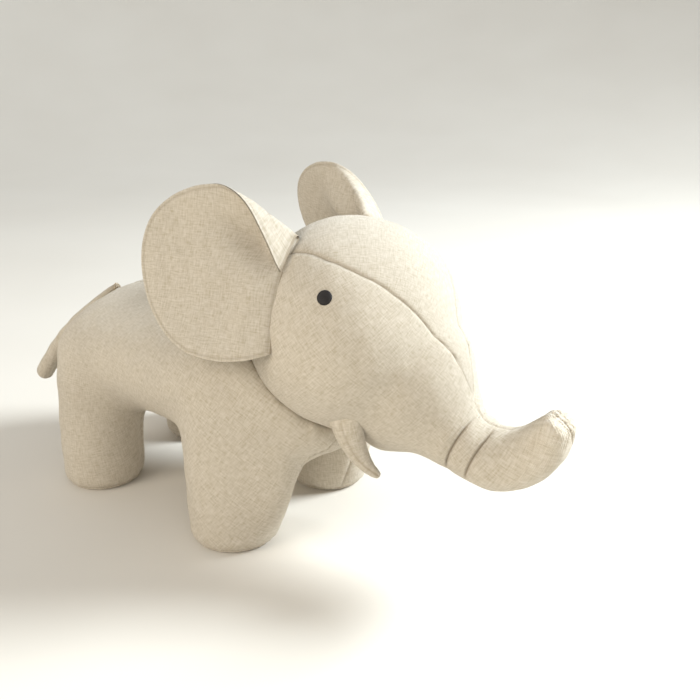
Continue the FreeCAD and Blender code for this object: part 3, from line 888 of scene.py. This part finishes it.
def makeEar(side):
    look = earLook
    outline = roundOutline(look["outline"], look["around"])
    centre = np.array((50.0, 10.0))
    shares = 1 - (1 - np.linspace(0, 1, look["rings"])) ** 1.5
    flat = [centre[None]] + [centre + (outline - centre) * s for s in shares[1:]]
    flat = np.concatenate(flat)
    edge = np.concatenate([[0.0]] + [np.full(look["around"], s) for s in shares[1:]])
    spot = np.concatenate([[0.0]] + [np.arange(look["around"]) * 1.0] * (look["rings"] - 1))
    sheet, pastCrest = earSheet(flat)
    faces = ringFaces(look["rings"] - 1, look["around"])
    if pointNormals(sheet, faces)[0, 2] < 0:
        faces = faces[:, ::-1]
    normals = pointNormals(sheet, faces)
    inward = np.min(np.linalg.norm(flat[:, None, :] - outline[None], axis=2), axis=1)
    half = look["rimThick"] / 2 + (look["thick"] - look["rimThick"]) / 2 * np.sqrt(
        1 - (1 - np.clip(inward / 16, 0, 1)) ** 2.4)
    half = half * np.interp(pastCrest, (-10, -1), (1, 0.5))
    half = half - 0.3 * np.exp(-((inward - 2.6) / 1.0) ** 2)
    place = np.stack([flat[:, 0], flat[:, 1], np.zeros(len(flat))], 1)
    gather = np.sin(spot * math.tau / 9 + 2 * np.sin(spot / 13) + 1.3 * np.sin(spot / 5.1))
    uneven = 0.5 + 0.5 * np.sin(spot / 17 + 1) * np.sin(spot / 41)
    pucker = 0.4 * gather * uneven * np.exp(-inward / 6) * smoothstep(0, 2.0, inward)
    quilt = 0.5 * softNoise(place, 46, 41) + 0.25 * softNoise(place, 17, 42)
    quilt = quilt * smoothstep(3, 18, inward) * np.interp(pastCrest, (-12, -2), (1, 0.2))
    base, axes = earAxes(side)
    rings = {}
    for face, way, seed in (("Outer", -1, 0.0), ("Inner", 1, 1.0)):
        lift = half + pucker * (1 if way > 0 else 0.8) + quilt * (1 if way > 0 else -0.7)
        lift = np.where(edge >= 1, look["rimThick"] * 0.2, np.maximum(lift, look["rimThick"] * 0.4))
        body = (sheet + normals * (lift * way)[:, None]) * mm
        points = base + body @ axes
        turned = faces if (way > 0) == (np.linalg.det(axes) > 0) else faces[:, ::-1]
        weave = np.stack([flat[:, 0] * mm, flat[:, 1] * mm, np.full(len(flat), 0.02 * way)], 1)
        shade = 0.35 * np.exp(-((inward - 2.4) / 0.9) ** 2) * (edge < 1)
        shade = np.maximum(shade, 0.7 * (flat[:, 0] < -5.5))
        rings[face] = (points, turned, weave, shade)
    for face, (points, turned, weave, shade) in rings.items():
        piece = putPiece(f"ear{side.capitalize()}{face}Panel", points, turned, linen,
                         weave, shade)
        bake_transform(piece)
    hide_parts(f"ear_{side}_outer_panel", f"ear_{side}_wadding", f"ear_{side}_root")
    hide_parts(f"ear_{side}_inner_panel")


for side in ("right", "left"):
    makeEar(side)
print("ears sewn")


def tubeAlong(path, half, wide, count, pinch, startWay):
    # rings across a path; half and wide are its half thicknesses, pinch sharpens the seam edges
    path = np.array(path)
    ways = np.gradient(path, axis=0)
    ways /= np.linalg.norm(ways, axis=1, keepdims=True)
    points = []
    for spot, way, deep, broad in zip(path, ways, half, wide):
        across = np.array(startWay) - way * (np.array(startWay) @ way)
        across /= np.linalg.norm(across)
        third = np.cross(way, across)
        angle = np.arange(count) * math.tau / count
        cosine, sine = np.cos(angle), np.sin(angle)
        x = np.sign(cosine) * np.abs(cosine) ** pinch
        points.append(spot + np.outer(x * broad, across) + np.outer(sine * deep, third))
    points = np.concatenate(points)
    faces = []
    for ring in range(len(path) - 1):
        a, b = ring * count, (ring + 1) * count
        for i in range(count):
            j = (i + 1) % count
            faces += [(a + i, a + j, b + j), (a + i, b + j, b + i)]
    for ring, order in ((0, -1), (len(path) - 1, 1)):
        tip = len(points)
        points = np.vstack([points, points[ring * count:(ring + 1) * count].mean(0)])
        for i in range(count):
            face = (ring * count + i, ring * count + (i + 1) % count, tip)
            faces.append(face if order > 0 else face[::-1])
    angle = np.concatenate([np.tile(np.arange(count) * math.tau / count, len(path)), [0, 0]])
    length = np.concatenate([[0], np.cumsum(np.linalg.norm(np.diff(path, axis=0), axis=1))])
    along = np.concatenate([np.repeat(length, count), [length[0], length[-1]]])
    return points, np.array(faces), angle, along


tuskLook = {
    # x and z, mm
    "route": ((129, 141), (133, 127), (138, 114.5), (146, 103.5), (155, 96.5), (165, 93)),
    "broad": (14.5, 14, 11.4, 8.2, 5.0, 1.8),
    "deep": (9, 8.8, 7.8, 6.2, 4.2, 1.7),
    "aside": (47, 48, 48.6, 49.4, 50.4, 51.4),
    "seamTurn": 80,         # degrees round the tusk from its front edge to its outer seam
}


def makeTusk(side):
    look = tuskLook
    sign = -1 if side == "right" else 1
    count = 44
    route = np.array([(x, sign * y, z) for (x, z), y in zip(look["route"], look["aside"])]) * mm
    path = curveThrough(route, count)
    share = np.linspace(0, len(look["broad"]) - 1, count)
    broad = np.interp(share, range(6), look["broad"]) * mm
    deep = np.interp(share, range(6), look["deep"]) * mm
    cap = np.sqrt(np.clip(1 - np.clip((share - 4.75) / 0.25, 0, 1) ** 2, 0.02, 1))
    points, faces, angle, along = tubeAlong(path, deep * cap, broad * cap, 48, 0.86, (1, 0, 0))
    seamTurn = -sign * math.radians(look["seamTurn"])
    seamGap = np.abs(np.sin(angle - seamTurn)) * np.interp(along, np.linspace(0, along.max(), count), broad)
    faces, normals = facingOut(points, faces)
    dip = sewnDip(seamGap, along, 51, depth=0.6 * mm, width=0.9 * mm, pucker=0.3 * mm, pitch=6 * mm)
    dip = dip + 0.9 * mm * np.exp(-(seamGap / (3.5 * mm)) ** 2) * smoothstep(0, 12 * mm, along)
    points = points + normals * dip[:, None]
    weave = np.stack([angle * 9 * mm, along, points[:, 1] * 0.3], 1)
    piece = putPiece(f"tusk{side.capitalize()}Cover", points, faces, linen, weave,
                     0.6 * np.exp(-(seamGap / (0.7 * mm)) ** 2))
    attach(piece, "head")
    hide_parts(f"tusk_{side}_cover", f"tusk_{side}_stuffing")


for side in ("right", "left"):
    makeTusk(side)

tailHinge = next(j for j in frame["joints"] if j["name"] == "tail_swing")
tailLow, tailHigh = nodeBox("tail_cover")
tailLook = {
    "bow": 9 * mm,          # how far the tail bows up off a straight line
    "radius": (2.6, 3.6, 4.6, 5.8, 7.2, 8.4, 9.0, 8.8),
}
tailStart = np.array(tailHinge["pos_m"])
tailEnd = np.array((tailLow[0] + 7 * mm, tailLow[1] + 8 * mm, tailLow[2] + 5 * mm))
steps = 70
share = np.linspace(0, 1, steps)
tailPath = tailStart + np.outer(share, tailEnd - tailStart)
tailPath = tailPath + np.outer(np.sin(share * math.pi) * tailLook["bow"], (-0.7, 0, 0.72))
tailRadius = np.interp(share, np.linspace(0, 1, 8), tailLook["radius"]) * mm
tailCap = np.sqrt(np.clip(1 - np.clip((share - 0.945) / 0.055, 0, 1) ** 2, 0.015, 1))
tailPoints, tailFaces, tailAngle, tailAlong = tubeAlong(tailPath, tailRadius * tailCap, tailRadius * tailCap,
                                                        48, 1.0, (0.7, 0, -0.72))
tailFaces, tailNormals = facingOut(tailPoints, tailFaces)
radiusThere = np.interp(tailAlong, np.linspace(0, tailAlong.max(), steps), tailRadius)
tailSeam = np.abs(np.sin(tailAngle / 2)) * 2 * radiusThere
tailDip = sewnDip(tailSeam, tailAlong, 61, depth=0.7 * mm, width=1.0 * mm, pucker=0.35 * mm, pitch=7 * mm)
tailDip = tailDip + 0.3 * mm * softNoise(tailPoints, 24 * mm, 62)
gathered = np.exp(-tailAlong / (9 * mm))
tailDip = tailDip + 0.35 * mm * gathered * np.sin(tailAngle * 7)
tail = putPiece("tailCover", tailPoints + tailNormals * tailDip[:, None], tailFaces, linen,
                np.stack([tailAngle * 8 * mm, tailAlong, tailPoints[:, 1] * 0.3], 1),
                np.maximum(0.6 * np.exp(-(tailSeam / (0.7 * mm)) ** 2), 0.6 * gathered))
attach(tail, "tail")
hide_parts("tail_cover", "tail_stuffing")
print("tusks and tail sewn")


# The eyes: satin stitch over a low pad.
eyeLook = {"radius": 5.4 * mm, "height": 1.5 * mm, "rowPitch": 0.5 * mm, "rowHeight": 0.16 * mm}


def makeEye(side):
    look = eyeLook
    centre = middleOf(f"eye_{side}")
    outward = centre - headMiddle
    outward = outward / np.linalg.norm(outward)
    distance = np.linalg.norm(headPoints - centre, axis=1)
    surface = headPoints[np.argsort(distance)[:40]]
    seat = (surface @ outward).mean()
    centre = centre + outward * (seat - centre @ outward)
    across = np.cross((0, 0, 1), outward)
    across /= np.linalg.norm(across)
    upward = np.cross(outward, across)
    rings, count = 40, 120
    points = [centre + outward * look["height"]]
    for ring in range(1, rings + 1):
        share = ring / rings
        for i in range(count):
            angle = i * math.tau / count
            x, y = math.cos(angle) * share * look["radius"], math.sin(angle) * share * look["radius"]
            ragged = 1 + 0.012 * math.sin(i * 2.6)
            rows = look["rowHeight"] * abs(math.sin(math.pi * y / look["rowPitch"])) * (1 - share ** 6)
            rise = look["height"] * math.sqrt(max(1 - share ** 2.6, 0)) - 0.9 * mm * (share >= 1) + rows
            points.append(centre + across * x * ragged + upward * y * ragged + outward * rise)
    points, faces = np.array(points), ringFaces(rings, count)
    if pointNormals(points, faces)[0] @ outward < 0:
        faces = faces[:, ::-1]
    piece = putPiece(f"eye{side.capitalize()}", points, faces, blackThread)
    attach(piece, "head")
    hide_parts(f"eye_{side}")


for side in ("right", "left"):
    makeEye(side)


def threadLoop(name, route, radius, material, body):
    path = curveThrough(np.array(route), max(12, len(route) * 6))
    count = len(path)
    even = np.full(count, radius)
    points, faces, _, _ = tubeAlong(path, even, even, 10, 1.0, (0.3, 0.9, 0.2))
    faces, _ = facingOut(points, faces)
    piece = putPiece(name, points, faces, material)
    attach(piece, body)
    return piece


# Hand stitches at the tail's root and over the closed end of the trunk.
stitchLook = {
    "tailStitches": 5,
    "tailThread": 0.4 * mm,      # half its thickness
    "tailReach": 3.4 * mm,
    "endStitches": 5,
    "endThread": 0.3 * mm,
    "endPitch": 4.4 * mm,
    "endReach": 2.6 * mm,
    "endRise": 0.8 * mm,
}
for number in range(stitchLook["tailStitches"]):
    turn = number * math.pi / stitchLook["tailStitches"]
    aside = np.array((0.55 * math.cos(turn), math.sin(turn), 0.6 * math.cos(turn)))
    seat = tailStart - np.array((0.6, 0, 1)) * 2.5 * mm
    first, last = seat + aside * stitchLook["tailReach"], seat - aside * stitchLook["tailReach"]
    below = (0, 0, 2.5 * mm)
    top = seat + np.array((-0.5, 0, 0.9)) * (3.0 + 0.2 * number) * mm
    threadLoop(f"tailRootStitch{number}", (first - below, first, top, last, last - below),
                                stitchLook["tailThread"], beigeThread, "torso")
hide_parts("tail_root_gather")
endAcross = np.cross(endWay, (0, 1, 0))
lift = endWay * stitchLook["endRise"]
for number in range(stitchLook["endStitches"]):
    target = endPlace + endAcross * (number - 2) * stitchLook["endPitch"]
    near = np.argsort(np.linalg.norm(headPoints - target, axis=1))[:12]
    seat = headPoints[near].mean(0)
    slant = endAcross * (0.8 if number % 2 else -0.6) * mm
    side = np.array((0, stitchLook["endReach"], 0))
    route = (seat + side - lift, seat + side * 0.6 + lift,
             seat - side * 0.6 + slant + lift, seat - side + slant - lift)
    threadLoop(f"trunkEndStitch{number}", route, stitchLook["endThread"], beigeThread, "trunk")
print("stitches set")


# The floor, the light and the camera.
floorMaterial, floorTree, floorShader = newMaterial("paleStudioFloor")
floorPlace = addNode(floorTree, "ShaderNodeTexCoord")
floorNoise = addNode(floorTree, "ShaderNodeTexNoise", {
    "Vector": floorPlace.outputs["Object"], "Scale": 3.0})
floorTone = addNode(floorTree, "ShaderNodeValToRGB", {"Fac": floorNoise.outputs["Fac"]})
floorTone.color_ramp.elements[0].color = linearColour("#D0C9BE")
floorTone.color_ramp.elements[1].color = linearColour("#D9D3C9")
floorTree.links.new(floorTone.outputs["Color"], floorShader.inputs["Base Color"])
floorShader.inputs["Roughness"].default_value = 0.7
# a floor that rises all round into a plain backdrop
rise = [(r, 0.0) for r in (0.4, 0.9, 1.3, 1.6)]
rise += [(1.6 + 2 * math.sin(a), 2 - 2 * math.cos(a)) for a in np.radians(range(8, 88, 8))]
spokes = 96
floorPoints = [(0, 0, 0)] + [(r * math.cos(t), r * math.sin(t), z) for r, z in rise
                             for t in np.arange(spokes) * math.tau / spokes]
floorFaces = ringFaces(len(rise), spokes)
floor = makeObject("floor", floorPoints, floorFaces)
floor.data.polygons.foreach_set("use_smooth", [True] * len(floorFaces))
floor.data.materials.append(floorMaterial)

world = bpy.data.worlds.new("studio")
world.use_nodes = True
world.node_tree.nodes["Background"].inputs["Color"].default_value = (0.88, 0.94, 1.0, 1)
world.node_tree.nodes["Background"].inputs["Strength"].default_value = 0.6
bpy.context.scene.world = world


def areaLight(name, place, target, size, power, colour):
    data = bpy.data.lights.new(name, "AREA")
    data.shape, data.size, data.energy, data.color = "DISK", size, power, colour
    lamp = bpy.data.objects.new(name, data)
    lamp.location = place
    lamp.rotation_euler = (Vector(target) - Vector(place)).to_track_quat("-Z", "Y").to_euler()
    bpy.context.scene.collection.objects.link(lamp)


# place, target, size, power and colour
lightLook = {
    "windowKey": ((1.25, 1.15, 1.25), (0, 0, 0.18), 0.7, 84, (0.86, 0.94, 1.0)),
    "softFill": ((-0.6, -2.2, 1.4), (0, 0, 0.12), 1.8, 38, (1.0, 0.93, 0.82)),
    "frontFill": ((1.6, -1.3, 1.1), (0, 0, 0.15), 1.2, 6, (1.0, 0.94, 0.85)),
}
for name, settings in lightLook.items():
    areaLight(name, *settings)

cameraLook = {"place": (0.4673, -0.4947, 0.3944), "around": 36.5, "above": 20.9, "lens": 43.7}
cameraData = bpy.data.cameras.new("camera")
cameraData.sensor_width = 36
cameraData.lens = cameraLook["lens"]
camera = bpy.data.objects.new("camera", cameraData)
camera.location = cameraLook["place"]
around, above = math.radians(cameraLook["around"]), math.radians(cameraLook["above"])
backward = Vector((math.sin(around) * math.cos(above), -math.cos(around) * math.cos(above),
                   math.sin(above)))
camera.rotation_mode = "QUATERNION"
camera.rotation_quaternion = (-backward).to_track_quat("-Z", "Y")
bpy.context.scene.collection.objects.link(camera)
bpy.context.scene.camera = camera
bpy.context.scene.view_settings.view_transform = "Standard"
print("studio ready")
